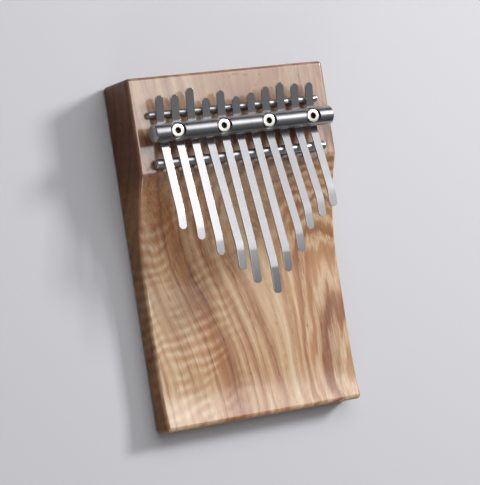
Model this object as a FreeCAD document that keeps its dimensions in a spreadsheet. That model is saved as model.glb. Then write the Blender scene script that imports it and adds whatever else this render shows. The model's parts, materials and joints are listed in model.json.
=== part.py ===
import FreeCAD, Part
import math
import os
import Sketcher

# An eleven-tine thumb piano (mbira, kalimba) on a solid wooden board.
# Frame: the board lies on its flat back with z = 0 there. +X runs across the board, +Y runs
# along it towards the head end that carries the hardware, +Z leaves the playing face.
# The origin is the centre of the back. All sizes are in millimetres, angles in degrees.

TINE_COUNT = 11
SCREW_COUNT = 4
TINES_PER_SCREW = 3
END_ROUND_SHARE = 0.49  # of a tine's width: its ends stop just short of a full half round

SIZES = {
    # board
    "board_length": (178.0, "head end to player's end"),
    "board_width": (115.0, "across the board"),
    "head_thickness": (28.2, "flat head that carries the hardware"),
    "floor_thickness": (12.7, "thinnest part, in the thumb scoop"),
    "scoop_radius": (117.0, "slope from the head down to the floor"),
    "kink_radius": (5.0, "softened edge between head and scoop"),
    "lip_rise": (2.5, "player's end above the floor"),
    "lip_run": (24.0, "length over which the lip rises"),
    "edge_round": (2.1, "rounding of all outer edges"),
    # where the hardware sits
    "bar_setback": (29.7, "head end to the pressure bar's axis"),
    "rear_rod_offset": (10.0, "bar axis to rear rod, towards the head"),
    "front_rod_offset": (14.8, "bar axis to front rod, towards the player"),
    "front_land": (5.0, "front rod to the scoop's edge"),
    # round stock
    "bar_diameter": (9.5, "pressure bar"),
    "bar_overhang": (6.0, "bar past the outer tines"),
    "bar_end_round": (1.2, "rounding of the bar's ends"),
    "front_rod_diameter": (4.8, "front bridge rod"),
    "rear_rod_diameter": (3.5, "rear bridge rod"),
    "rod_overhang": (3.6, "rods past the outer tines"),
    "rod_end_round": (0.8, "rounding of the rods' ends"),
    "groove_depth": (0.3, "rods below the face of the board"),
    "groove_clearance": (0.05, "groove wall to rod"),
    "groove_runout": (2.0, "groove past the rods' ends"),
    # tines
    "tine_width": (4.4, "flat spring strip"),
    "tine_thickness": (1.0, "flat spring strip"),
    "strip_lift": (3.0, "strip's middle above the board, under the bar"),
    "tail_bend": (4.1, "bar axis to the bend of the tails"),
    "bend_radius": (24.0, "bends under the bar"),
    "tip_radius": (22.0, "bend near the played tips"),
    "bar_gap": (0.2, "strip to bar"),
    "front_gap": (0.36, "strip to front rod, room for tuning"),
    "rear_gap": (0.3, "strip to rear rod, room for tuning"),
    "flex_offset": (3.6, "front rod to the line where the tongue flexes"),
    "flex_gap": (0.12, "between the clamped length and the tongue"),
    # M4 socket cap screws and their inserts
    "screw_diameter": (4.0, "thread's outside"),
    "screw_length": (18.0, "under the head"),
    "screw_head_diameter": (7.0, "cap head"),
    "screw_head_height": (4.0, "cap head"),
    "screw_head_round": (0.4, "rim of the cap head"),
    "socket_flats": (3.0, "hexagon key size"),
    "socket_depth": (2.2, "hexagon socket"),
    "head_recess": (0.7, "head below the bar's crown"),
    "pocket_clearance": (0.8, "bar's pocket to screw head"),
    "hole_clearance": (0.2, "bar's hole to screw"),
    "side_clearance": (0.175, "screw to the tines beside it"),
    "insert_diameter": (6.0, "threaded insert"),
    "insert_length": (10.0, "threaded insert"),
    "insert_depth": (0.3, "insert's top below the face"),
    "insert_clearance": (0.05, "insert to its hole and to the screw"),
    "hole_spare": (1.5, "hole below the screw's tip"),
}

# Each tine by hand, from the left: tail behind the bar, front length before it, bend of the
# front (bar axis to bend: further means steeper) and the level run at the played tip.
TAIL_LENGTH = (19.0, 18.7, 21.3, 15.5, 18.5, 14.8, 15.9, 18.2, 19.5, 18.3, 18.1)
FRONT_LENGTH = (49.0, 55.5, 64.5, 73.5, 81.0, 87.5, 77.5, 68.5, 57.7, 52.2, 47.5)
FRONT_BEND = (1.0, 1.0, 1.2, 4.7, 1.4, 2.9, 3.0, 5.7, 5.8, 6.2, 4.6)
TIP_RUN = (6.5, 6.0, 7.0, 10.0, 17.0, 13.0, 10.0, 9.0, 8.0, 7.0, 6.5)

# Places worked out from the sizes, in the order in which they depend on each other.
LAYOUT = {
    "bar_y": "Sizes.board_length / 2 - Sizes.bar_setback",
    "rear_y": "bar_y + Sizes.rear_rod_offset",
    "front_y": "bar_y - Sizes.front_rod_offset",
    "scoop_y": "front_y - Sizes.front_land",
    "rear_z": "Sizes.head_thickness - Sizes.groove_depth + Sizes.rear_rod_diameter / 2",
    "front_z": "Sizes.head_thickness - Sizes.groove_depth + Sizes.front_rod_diameter / 2",
    "strip_z": "Sizes.head_thickness + Sizes.strip_lift",
    "bar_z": "strip_z + Sizes.tine_thickness / 2 + Sizes.bar_gap + Sizes.bar_diameter / 2",
    "tine_pitch": "Sizes.screw_diameter + 2 * Sizes.side_clearance + Sizes.tine_width",
    "row_width": f"{TINE_COUNT - 1} * tine_pitch + Sizes.tine_width",
    "bar_length": "row_width + 2 * Sizes.bar_overhang",
    "rod_length": "row_width + 2 * Sizes.rod_overhang",
    "screw_pitch": f"{TINES_PER_SCREW} * tine_pitch",
    "screw_x": f"{(SCREW_COUNT - 1) / 2} * screw_pitch",
    "pocket_floor": "Sizes.bar_diameter / 2 - Sizes.head_recess - Sizes.screw_head_height",
    "screw_z": "bar_z + pocket_floor",
    "insert_z": "Sizes.head_thickness - Sizes.insert_depth",
    "hole_bottom": "screw_z - Sizes.screw_length - Sizes.hole_spare",
    "hole_depth": "Sizes.head_thickness - hole_bottom",
    "lip_radius": "(Sizes.lip_run ^ 2 + Sizes.lip_rise ^ 2) / (2 * Sizes.lip_rise)",
    "rear_run": "Sizes.rear_rod_offset - Sizes.tail_bend",
    "rear_reach": "Sizes.rear_rod_diameter / 2 + Sizes.rear_gap + Sizes.tine_thickness / 2",
    "tail_rise": "atan2(rear_z - strip_z; rear_run)"
                 " + asin(rear_reach / sqrt(rear_run ^ 2 + (rear_z - strip_z) ^ 2))",
    "tail_turn": "bar_y + Sizes.tail_bend - Sizes.bend_radius * tan(tail_rise / 2)",
    "front_reach": "Sizes.front_rod_diameter / 2 + Sizes.front_gap + Sizes.tine_thickness / 2",
    "flex_y": "front_y - Sizes.flex_offset",
}

doc = FreeCAD.newDocument("mbira")
sheet = doc.addObject("Spreadsheet::Sheet", "Sizes")
layout = doc.addObject("Spreadsheet::Sheet", "Layout")


def fill_sizes():
    """Driving dimensions: one row each, with its alias and what it measures."""
    rows = {name: pair[0] for name, pair in SIZES.items()}
    notes = {name: pair[1] for name, pair in SIZES.items()}
    for number in range(1, TINE_COUNT + 1):
        rows[f"tail_length_{number}"] = TAIL_LENGTH[number - 1]
        rows[f"front_length_{number}"] = FRONT_LENGTH[number - 1]
        rows[f"front_bend_{number}"] = FRONT_BEND[number - 1]
        rows[f"tip_run_{number}"] = TIP_RUN[number - 1]
    for row, (name, value) in enumerate(rows.items(), start=1):
        sheet.set(f"A{row}", name)
        sheet.set(f"B{row}", str(value))
        sheet.set(f"C{row}", notes.get(name, "see the list of tines"))
        sheet.setAlias(f"B{row}", name)
    doc.recompute()


def fill_layout():
    """Derived places: one formula each."""
    rows = dict(LAYOUT)
    for number in range(1, TINE_COUNT + 1):
        run = f"(Sizes.front_rod_offset - Sizes.front_bend_{number})"
        drop = "(front_z - strip_z)"
        rows[f"rise_{number}"] = (f"atan2({drop}; {run})"
                                  f" + asin(front_reach / sqrt({run} ^ 2 + {drop} ^ 2))")
        rows[f"turn_{number}"] = (f"bar_y - Sizes.front_bend_{number}"
                                  f" + Sizes.bend_radius * tan(rise_{number} / 2)")
    for row, (name, formula) in enumerate(rows.items(), start=1):
        layout.set(f"A{row}", name)
        layout.set(f"B{row}", "=" + formula)
        layout.setAlias(f"B{row}", name)
        doc.recompute()


def size(name):
    return float(sheet.get(name))


def place(name):
    value = layout.get(name)
    return float(getattr(value, "Value", value))


# ---------------------------------------------------------------- helpers

def new_body(label):
    body = doc.addObject("PartDesign::Body", label)
    body.Label = label
    return body


def origin_plane(body, role):
    return next(item for item in body.Origin.OriginFeatures if item.Role == role)


def new_sketch(body, name, role, lift=None):
    """A sketch on one of the body's own planes, moved along the plane's normal by lift."""
    sketch = body.newObject("Sketcher::SketchObject", name)
    sketch.AttachmentSupport = [(origin_plane(body, role), "")]
    sketch.MapMode = "FlatFace"
    if lift:
        sketch.setExpression("AttachmentOffset.Base.z", lift)
    return sketch


def vec(across, up):
    return FreeCAD.Vector(across, up, 0)


def datum(sketch, kind, *args, formula):
    """A dimension of the sketch, bound to the sheets."""
    index = sketch.addConstraint(Sketcher.Constraint(kind, *args))
    sketch.setExpression(f"Constraints[{index}]", formula)


def move_body(body, **formulas):
    """Bind the body's place to the sheets."""
    for axis, formula in formulas.items():
        body.setExpression(f"Placement.Base.{axis}", formula)


def edges_where(shape, test):
    return [f"Edge{i}" for i, edge in enumerate(shape.Edges, start=1) if test(edge)]


def add_fillet(body, name, base, edges, formula):
    fillet = body.newObject("PartDesign::Fillet", name)
    fillet.Base = (base, edges)
    fillet.setExpression("Radius", formula)
    doc.recompute()


def add_pattern(body, name, features, axis, length, count):
    """Repeat features along the first sketch's axis; the pattern becomes the body's tip."""
    pattern = body.newObject("PartDesign::LinearPattern", name)
    pattern.Originals = features
    pattern.Direction = axis
    pattern.setExpression("Length", length)
    pattern.Occurrences = count
    body.Tip = pattern
    doc.recompute()


def near(first, second, tolerance=1e-4):
    return abs(first - second) < tolerance


# ---------------------------------------------------------------- board

def board_profile(body):
    """Side view: flat back, flat head, scoop for the thumbs and a rising lip."""
    sketch = new_sketch(body, "board_side", "YZ_Plane")
    half = size("board_length") / 2
    head = size("head_thickness")
    floor = size("floor_thickness")
    scoop = size("scoop_radius")
    kink = size("kink_radius")
    lip = place("lip_radius")
    edge = place("scoop_y")
    drop = head - floor
    foot = edge - math.sqrt(2 * scoop * drop - drop ** 2)
    centre = vec(foot, floor + scoop)
    # the kink's arc touches the head from below and the scoop from inside the wood
    kink_y = foot + math.sqrt((scoop + kink) ** 2 - (floor + scoop - head + kink) ** 2)
    kink_centre = vec(kink_y, head - kink)
    lean = math.atan2(kink_centre.y - centre.y, kink_centre.x - centre.x)
    touch = centre + vec(math.cos(lean), math.sin(lean)) * scoop
    lip_start = -half + size("lip_run")
    lip_centre = vec(lip_start, floor + lip)
    lip_end = vec(-half, floor + size("lip_rise"))
    lip_lean = math.atan2(lip_end.y - lip_centre.y, lip_end.x - lip_centre.x)

    def arc(middle, radius, start, end):
        return Part.ArcOfCircle(Part.Circle(middle, FreeCAD.Vector(0, 0, 1), radius), start, end)

    back, head_end, flat = (sketch.addGeometry(Part.LineSegment(a, b)) for a, b in (
        (vec(-half, 0), vec(half, 0)),
        (vec(half, 0), vec(half, head)),
        (vec(half, head), vec(kink_y, head))))
    turn = sketch.addGeometry(arc(kink_centre, kink, math.pi / 2, lean + math.pi))
    slope = sketch.addGeometry(arc(centre, scoop, -math.pi / 2, lean))
    level = sketch.addGeometry(Part.LineSegment(vec(foot, floor), vec(lip_start, floor)))
    rise = sketch.addGeometry(arc(lip_centre, lip, lip_lean, -math.pi / 2))
    foot_end = sketch.addGeometry(Part.LineSegment(lip_end, vec(-half, 0)))

    joins = (("Coincident", back, 2, head_end, 1), ("Coincident", head_end, 2, flat, 1),
             ("Tangent", flat, 2, turn, 1), ("Tangent", turn, 2, slope, 2),
             ("Tangent", slope, 1, level, 1), ("Tangent", level, 2, rise, 2),
             ("Coincident", rise, 1, foot_end, 1), ("Coincident", foot_end, 2, back, 1),
             ("Horizontal", back), ("Horizontal", flat), ("Horizontal", level),
             ("Vertical", head_end), ("Vertical", foot_end), ("PointOnObject", back, 1, -1))
    for join in joins:
        sketch.addConstraint(Sketcher.Constraint(*join))
    datum(sketch, "DistanceX", -1, 1, back, 2, half, formula="Sizes.board_length / 2")
    datum(sketch, "DistanceX", back, 1, back, 2, 2 * half, formula="Sizes.board_length")
    datum(sketch, "DistanceY", head_end, 1, head_end, 2, head, formula="Sizes.head_thickness")
    datum(sketch, "Radius", turn, kink, formula="Sizes.kink_radius")
    datum(sketch, "Radius", slope, scoop, formula="Sizes.scoop_radius")
    datum(sketch, "DistanceY", -1, 1, level, 2, floor, formula="Sizes.floor_thickness")
    datum(sketch, "Radius", rise, lip, formula="Layout.lip_radius")
    datum(sketch, "DistanceX", back, 1, level, 2, size("lip_run"), formula="Sizes.lip_run")
    datum(sketch, "DistanceX", -1, 1, slope, 3, foot,
          formula="Layout.scoop_y - sqrt(2 * Sizes.scoop_radius * (Sizes.head_thickness"
                  " - Sizes.floor_thickness) - (Sizes.head_thickness"
                  " - Sizes.floor_thickness) ^ 2)")
    return sketch


def rod_groove(body, name, rod):
    """A shallow round-bottomed groove that seats one rod."""
    sketch = new_sketch(body, name + "_path", "XZ_Plane", f"-Layout.{rod}_y")
    sketch.setExpression("AttachmentOffset.Base.y", f"Layout.{rod}_z")
    radius = size(f"{rod}_rod_diameter") / 2 + size("groove_clearance")
    half = place("rod_length") / 2 + size("groove_runout") - radius
    left_end, right_end = (Part.Circle(vec(across, 0), FreeCAD.Vector(0, 0, 1), radius)
                           for across in (-half, half))
    axis = sketch.addGeometry(Part.LineSegment(vec(-half - radius, 0), vec(half + radius, 0)))
    right = sketch.addGeometry(Part.ArcOfCircle(right_end, 0, math.pi / 2))
    top = sketch.addGeometry(Part.LineSegment(vec(half, radius), vec(-half, radius)))
    left = sketch.addGeometry(Part.ArcOfCircle(left_end, math.pi / 2, math.pi))
    for join in (("Coincident", axis, 2, right, 1), ("Tangent", right, 2, top, 1),
                 ("Tangent", top, 2, left, 1), ("Coincident", left, 2, axis, 1),
                 ("PointOnObject", axis, 1, -1), ("PointOnObject", right, 3, -1),
                 ("PointOnObject", left, 3, -1), ("Symmetric", axis, 1, axis, 2, -1, 1)):
        sketch.addConstraint(Sketcher.Constraint(*join))
    datum(sketch, "Radius", right, radius,
          formula=f"Sizes.{rod}_rod_diameter / 2 + Sizes.groove_clearance")
    datum(sketch, "DistanceX", axis, 1, axis, 2, 2 * (half + radius),
          formula="Layout.rod_length + 2 * Sizes.groove_runout")
    groove = body.newObject("PartDesign::Groove", name)
    groove.Profile = sketch
    groove.ReferenceAxis = (sketch, ["H_Axis"])
    groove.Angle = 360
    doc.recompute()


def make_board():
    body = new_body("body_board")
    profile = board_profile(body)
    pad = body.newObject("PartDesign::Pad", "board_blank")
    pad.Profile = profile
    pad.Midplane = True
    pad.setExpression("Length", "Sizes.board_width")
    doc.recompute()
    half_x = size("board_width") / 2
    half_y = size("board_length") / 2

    def outer(edge):
        middle = edge.CenterOfGravity
        on_side = near(abs(middle.x), half_x)
        at_end = near(abs(middle.y), half_y)
        return on_side or at_end

    add_fillet(body, "board_edges", pad, edges_where(pad.Shape, outer), "Sizes.edge_round")
    rod_groove(body, "rear_groove", "rear")
    rod_groove(body, "front_groove", "front")
    sketch = new_sketch(body, "insert_spot", "XY_Plane", "Sizes.head_thickness")
    radius = size("insert_diameter") / 2 + size("insert_clearance")
    centre = vec(-place("screw_x"), place("bar_y"))
    spot = sketch.addGeometry(Part.Circle(centre, FreeCAD.Vector(0, 0, 1), radius))
    datum(sketch, "Radius", spot, radius,
          formula="Sizes.insert_diameter / 2 + Sizes.insert_clearance")
    datum(sketch, "DistanceX", spot, 3, -1, 1, -centre.x, formula="Layout.screw_x")
    datum(sketch, "DistanceY", -1, 1, spot, 3, centre.y, formula="Layout.bar_y")
    hole = body.newObject("PartDesign::Pocket", "insert_hole")
    hole.Profile = sketch
    hole.setExpression("Length", "Layout.hole_depth")
    doc.recompute()
    add_pattern(body, "insert_holes", [hole], (sketch, ["H_Axis"]),
                f"{SCREW_COUNT - 1} * Layout.screw_pitch", SCREW_COUNT)


# ---------------------------------------------------------------- bar and rods

def turned_rod(label, length, diameter, end_round):
    """Round stock along X with rounded ends, centred on its own origin."""
    body = new_body(label)
    rod = body.newObject("PartDesign::AdditiveCylinder", label + "_stock")
    rod.setExpression("Radius", f"{diameter} / 2")
    rod.setExpression("Height", length)
    rod.AttachmentSupport = [(origin_plane(body, "YZ_Plane"), "")]
    rod.MapMode = "FlatFace"
    rod.setExpression("AttachmentOffset.Base.z", f"-{length} / 2")
    doc.recompute()
    ends = edges_where(rod.Shape, lambda edge: len(edge.Vertexes) == 1)
    add_fillet(body, label + "_ends", rod, ends, end_round)
    return body


def make_rods():
    for rod in ("rear", "front"):
        body = turned_rod(f"{rod}_rod", "Layout.rod_length", f"Sizes.{rod}_rod_diameter",
                          "Sizes.rod_end_round")
        move_body(body, y=f"Layout.{rod}_y", z=f"Layout.{rod}_z")


def bar_cut(body, name, radius, formula, lift):
    """One round cut at the first screw's place, up from the given level or right through."""
    sketch = new_sketch(body, name + "_spot", "XY_Plane", lift)
    x = place("screw_x")
    spot = sketch.addGeometry(Part.Circle(vec(-x, 0), FreeCAD.Vector(0, 0, 1), radius))
    sketch.addConstraint(Sketcher.Constraint("PointOnObject", spot, 3, -1))
    datum(sketch, "Radius", spot, radius, formula=formula)
    datum(sketch, "DistanceX", spot, 3, -1, 1, x, formula="Layout.screw_x")
    cut = body.newObject("PartDesign::Pocket", name)
    cut.Profile = sketch
    cut.Type = "ThroughAll"
    if lift:
        cut.Reversed = True
    else:
        cut.Midplane = True
    doc.recompute()
    return cut


def make_bar():
    body = turned_rod("pressure_bar", "Layout.bar_length", "Sizes.bar_diameter",
                      "Sizes.bar_end_round")
    pocket = bar_cut(body, "head_pocket",
                     size("screw_head_diameter") / 2 + size("pocket_clearance"),
                     "Sizes.screw_head_diameter / 2 + Sizes.pocket_clearance",
                     "Layout.pocket_floor")
    hole = bar_cut(body, "screw_hole", size("screw_diameter") / 2 + size("hole_clearance"),
                   "Sizes.screw_diameter / 2 + Sizes.hole_clearance", None)
    add_pattern(body, "screw_seats", [pocket, hole], (hole.Profile[0], ["H_Axis"]),
                f"{SCREW_COUNT - 1} * Layout.screw_pitch", SCREW_COUNT)
    move_body(body, y="Layout.bar_y", z="Layout.bar_z")


# ---------------------------------------------------------------- screws and inserts

def revolve_outline(body, name, corners):
    """Revolve a closed outline of (radius, height) formulas about the body's Z axis."""
    sketch = new_sketch(body, name + "_outline", "XZ_Plane")
    points = [vec(doc_value(sketch, across), doc_value(sketch, up)) for across, up in corners]
    lines = [sketch.addGeometry(Part.LineSegment(a, b))
             for a, b in zip(points, points[1:] + points[:1])]
    for line, following in zip(lines, lines[1:] + lines[:1]):
        sketch.addConstraint(Sketcher.Constraint("Coincident", line, 2, following, 1))
    for line, point, (across, up) in zip(lines, points, corners):
        if across == "0":
            sketch.addConstraint(Sketcher.Constraint("PointOnObject", line, 1, -2))
        else:
            datum(sketch, "DistanceX", -1, 1, line, 1, point.x, formula=across)
        if up == "0":
            sketch.addConstraint(Sketcher.Constraint("PointOnObject", line, 1, -1))
        elif point.y > 0:
            datum(sketch, "DistanceY", -1, 1, line, 1, point.y, formula=up)
        else:
            datum(sketch, "DistanceY", line, 1, -1, 1, -point.y, formula=f"-({up})")
    turned = body.newObject("PartDesign::Revolution", name)
    turned.Profile = sketch
    turned.ReferenceAxis = (sketch, ["V_Axis"])
    turned.Angle = 360
    doc.recompute()
    return turned


def doc_value(sketch, formula):
    """What a formula of the sheets comes to."""
    value = sketch.evalExpression(formula)
    return float(getattr(value, "Value", value))


def make_screw(number):
    """Socket cap screw, standing with the underside of its head at the body's origin."""
    body = new_body(f"clamp_screw_{number}")
    shank = "Sizes.screw_diameter / 2"
    head = "Sizes.screw_head_diameter / 2"
    bevel = "Sizes.screw_diameter / 8"
    turned = revolve_outline(body, f"screw_{number}", [
        ("0", "-Sizes.screw_length"), (f"{shank} - {bevel}", "-Sizes.screw_length"),
        (shank, f"-Sizes.screw_length + {bevel}"), (shank, "0"), (head, "0"),
        (head, "Sizes.screw_head_height"), ("0", "Sizes.screw_head_height")])
    top = size("screw_head_height")
    rim = edges_where(turned.Shape, lambda edge: near(edge.BoundBox.ZMin, top))
    add_fillet(body, f"screw_rim_{number}", turned, rim, "Sizes.screw_head_round")
    sketch = new_sketch(body, f"socket_outline_{number}", "XY_Plane", "Sizes.screw_head_height")
    corner = size("socket_flats") / math.sqrt(3)
    points = [vec(corner * math.cos(math.radians(60 * k + 30)),
                  corner * math.sin(math.radians(60 * k + 30))) for k in range(6)]
    lines = [sketch.addGeometry(Part.LineSegment(a, b))
             for a, b in zip(points, points[1:] + points[:1])]
    ring = sketch.addGeometry(Part.Circle(vec(0, 0), FreeCAD.Vector(0, 0, 1), corner), True)
    sketch.addConstraint(Sketcher.Constraint("Coincident", ring, 3, -1, 1))
    for line, following in zip(lines, lines[1:] + lines[:1]):
        sketch.addConstraint(Sketcher.Constraint("Coincident", line, 2, following, 1))
        sketch.addConstraint(Sketcher.Constraint("PointOnObject", line, 1, ring))
    for line in lines[1:]:
        sketch.addConstraint(Sketcher.Constraint("Equal", lines[0], line))
    sketch.addConstraint(Sketcher.Constraint("Horizontal", lines[0]))
    datum(sketch, "Radius", ring, corner, formula="Sizes.socket_flats / sqrt(3)")
    socket = body.newObject("PartDesign::Pocket", f"socket_{number}")
    socket.Profile = sketch
    socket.setExpression("Length", "Sizes.socket_depth")
    doc.recompute()
    move_body(body, x=f"-Layout.screw_x + {number - 1} * Layout.screw_pitch", y="Layout.bar_y",
              z="Layout.screw_z")


def make_insert(number):
    """Threaded insert in the board, its thread left plain; its top is the body's origin."""
    body = new_body(f"thread_insert_{number}")
    bore = "Sizes.screw_diameter / 2 + Sizes.insert_clearance"
    wall = "Sizes.insert_diameter / 2"
    revolve_outline(body, f"insert_{number}", [
        (bore, "-Sizes.insert_length"), (wall, "-Sizes.insert_length"), (wall, "0"), (bore, "0")])
    move_body(body, x=f"-Layout.screw_x + {number - 1} * Layout.screw_pitch", y="Layout.bar_y",
              z="Layout.insert_z")


# ---------------------------------------------------------------- tines

def heading(degrees):
    return vec(math.cos(math.radians(degrees)), math.sin(math.radians(degrees)))


def strip_side(sketch, corners, headings, radii, offset):
    """One side of a bent strip, as lines joined by arcs, offset from its middle line."""
    chain = []
    start = corners[0] + heading(headings[0] + 90) * offset
    for k, radius in enumerate(radii, start=1):
        turn = headings[k] - headings[k - 1]
        bend = radius - offset if turn > 0 else radius + offset
        reach = bend * math.tan(math.radians(abs(turn)) / 2)
        bisector = heading((headings[k] + headings[k - 1]) / 2 + 90)
        corner = corners[k] + bisector * (offset / math.cos(math.radians(turn) / 2))
        entry = corner - heading(headings[k - 1]) * reach
        leave = corner + heading(headings[k]) * reach
        side = 90 if turn > 0 else -90
        centre = entry + heading(headings[k - 1] + side) * bend
        first, second = headings[k - 1] - side, headings[k] - side
        circle = Part.Circle(centre, FreeCAD.Vector(0, 0, 1), bend)
        low, high = sorted((first, second))
        arc = Part.ArcOfCircle(circle, math.radians(low), math.radians(high))
        line = sketch.addGeometry(Part.LineSegment(start, entry))
        bow = sketch.addGeometry(arc)
        chain += [(line, 1, 2), (bow, 1, 2) if turn > 0 else (bow, 2, 1)]
        start = leave
    finish = corners[-1] + heading(headings[-1] + 90) * offset
    chain.append((sketch.addGeometry(Part.LineSegment(start, finish)), 1, 2))
    for (first, _, leaving), (second, arriving, _) in zip(chain, chain[1:]):
        sketch.addConstraint(Sketcher.Constraint("Tangent", first, leaving, second, arriving))
    return [item[0] for item in chain]


def strip_profile(body, number, name):
    """Side view of a whole tine: tail, level run under the bar, rising front, level tip."""
    sketch = new_sketch(body, name + "_side", "YZ_Plane")
    tail_rise = place("tail_rise")
    front_rise = place(f"rise_{number}")
    level = place("strip_z")
    bar = place("bar_y")
    tail_bend = bar + size("tail_bend")
    front_bend = bar - size(f"front_bend_{number}")
    tail_end = bar + size(f"tail_length_{number}")
    tip_end = bar - size(f"front_length_{number}")
    tip_reach = size("tip_radius") * math.tan(math.radians(front_rise) / 2)
    tip_bend = tip_end + size(f"tip_run_{number}") + tip_reach
    tip_level = level + (front_bend - tip_bend) * math.tan(math.radians(front_rise))
    tail_level = level + (tail_end - tail_bend) * math.tan(math.radians(tail_rise))
    corners = [vec(tail_end, tail_level), vec(tail_bend, level), vec(front_bend, level),
               vec(tip_bend, tip_level), vec(tip_end, tip_level)]
    headings = [180 + tail_rise, 180, 180 - front_rise, 180]
    radii = [size("bend_radius"), size("bend_radius"), size("tip_radius")]
    half = size("tine_thickness") / 2
    lower = strip_side(sketch, corners, headings, radii, half)
    upper = strip_side(sketch, corners, headings, radii, -half)
    ends = []
    for low, high, point in ((lower[0], upper[0], 1), (lower[-1], upper[-1], 2)):
        a = sketch.getPoint(low, point)
        b = sketch.getPoint(high, point)
        cap = sketch.addGeometry(Part.LineSegment(a, b))
        sketch.addConstraint(Sketcher.Constraint("Coincident", low, point, cap, 1))
        sketch.addConstraint(Sketcher.Constraint("Coincident", high, point, cap, 2))
        sketch.addConstraint(Sketcher.Constraint("Perpendicular", low, cap))
        ends.append(cap)
    for low, high in zip(lower[0::2], upper[0::2]):
        sketch.addConstraint(Sketcher.Constraint("Parallel", low, high))
    for low, high in zip(lower[1::2], upper[1::2]):
        sketch.addConstraint(Sketcher.Constraint("Coincident", low, 3, high, 3))
    for line in (lower[2], lower[6]):
        sketch.addConstraint(Sketcher.Constraint("Horizontal", line))
    middle = sketch.getPoint(lower[2], 1)
    datum(sketch, "Distance", ends[0], 2 * half, formula="Sizes.tine_thickness")
    datum(sketch, "Radius", lower[1], radii[0] + half,
          formula="Sizes.bend_radius + Sizes.tine_thickness / 2")
    datum(sketch, "Radius", lower[3], radii[1] + half,
          formula="Sizes.bend_radius + Sizes.tine_thickness / 2")
    datum(sketch, "Radius", lower[5], radii[2] - half,
          formula="Sizes.tip_radius - Sizes.tine_thickness / 2")
    datum(sketch, "DistanceY", -1, 1, lower[2], 1, middle.y,
          formula="Layout.strip_z - Sizes.tine_thickness / 2")
    datum(sketch, "Angle", lower[2], lower[0], math.radians(tail_rise),
          formula="Layout.tail_rise")
    datum(sketch, "Angle", lower[4], lower[2], math.radians(front_rise),
          formula=f"Layout.rise_{number}")
    datum(sketch, "DistanceX", -1, 1, lower[1], 3, sketch.getPoint(lower[1], 3).x,
          formula="Layout.tail_turn")
    datum(sketch, "DistanceX", -1, 1, lower[3], 3, sketch.getPoint(lower[3], 3).x,
          formula=f"Layout.turn_{number}")
    datum(sketch, "DistanceX", lower[6], 2, lower[6], 1, size(f"tip_run_{number}"),
          formula=f"Sizes.tip_run_{number}")
    datum(sketch, "DistanceX", -1, 1, lower[0], 1, sketch.getPoint(lower[0], 1).x,
          formula=f"Layout.bar_y + Sizes.tail_length_{number}"
                  " + Sizes.tine_thickness / 2 * sin(Layout.tail_rise)")
    datum(sketch, "DistanceX", lower[6], 2, lower[2], 1, middle.x - tip_end,
          formula=f"Layout.tail_turn - Layout.bar_y + Sizes.front_length_{number}")
    return sketch


def make_tine_piece(number, part):
    """One tine's clamped shank or played tongue: the whole strip, cut where it flexes."""
    name = f"tine_{number:02d}_{part}"
    body = new_body(name)
    strip = body.newObject("PartDesign::Pad", name + "_strip")
    strip.Profile = strip_profile(body, number, name)
    strip.Midplane = True
    strip.setExpression("Length", "Sizes.tine_width")
    doc.recompute()
    top = strip.Shape.BoundBox  # only its rough reach is used: the cut goes well past it
    keep_tail = part == "shank"
    side = 1 if keep_tail else -1
    start = place("flex_y") + side * size("flex_gap") / 2
    end = top.YMin - top.DiagonalLength if keep_tail else top.YMax + top.DiagonalLength
    sketch = new_sketch(body, name + "_cut", "YZ_Plane")
    frame = [vec(start, 0), vec(end, 0), vec(end, top.ZMax * 2), vec(start, top.ZMax * 2)]
    lines = [sketch.addGeometry(Part.LineSegment(a, b))
             for a, b in zip(frame, frame[1:] + frame[:1])]
    for line, following in zip(lines, lines[1:] + lines[:1]):
        sketch.addConstraint(Sketcher.Constraint("Coincident", line, 2, following, 1))
    for line, kind in zip(lines, ("Horizontal", "Vertical", "Horizontal", "Vertical")):
        sketch.addConstraint(Sketcher.Constraint(kind, line))
    datum(sketch, "DistanceX", -1, 1, lines[0], 1, start,
          formula=f"Layout.flex_y + {side} * Sizes.flex_gap / 2")
    cut = body.newObject("PartDesign::Pocket", name + "_end")
    cut.Profile = sketch
    cut.Type = "ThroughAll"
    cut.Midplane = True
    doc.recompute()
    far = cut.Shape.BoundBox.YMax if keep_tail else cut.Shape.BoundBox.YMin
    half = size("tine_width") / 2
    thick = size("tine_thickness")

    def end_corner(edge):
        middle = edge.CenterOfGravity
        return (near(abs(middle.x), half) and near(edge.Length, thick)
                and abs(middle.y - far) < thick)

    corners = edges_where(cut.Shape, end_corner)
    add_fillet(body, name + "_round", cut, corners,
               f"Sizes.tine_width * {END_ROUND_SHARE}")
    middle = (TINE_COUNT + 1) / 2
    move_body(body, x=f"{number - middle} * Layout.tine_pitch")


# ---------------------------------------------------------------- build and write

def check_document():
    """Stop on any failed object and on any body without a sound solid."""
    for item in doc.Objects:
        if {"Invalid", "Error"} & set(item.State):
            raise RuntimeError(f"{item.Label}: {item.State}")
    for body in bodies():
        shape = body.Shape
        if shape.isNull() or not shape.isValid() or len(shape.Solids) != 1:
            raise RuntimeError(f"{body.Label}: no single sound solid")


def bodies():
    return [item for item in doc.Objects if item.TypeId == "PartDesign::Body"]


def write_steps():
    os.makedirs("parts", exist_ok=True)
    for body in bodies():
        body.Shape.exportStep(f"parts/{body.Label}.step")
        box = body.Shape.BoundBox
        print(f"{body.Label:18} {body.Shape.Volume:11.2f} mm3  "
              f"x {box.XMin:7.2f} {box.XMax:7.2f}  y {box.YMin:7.2f} {box.YMax:7.2f}  "
              f"z {box.ZMin:6.2f} {box.ZMax:6.2f}")


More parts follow.
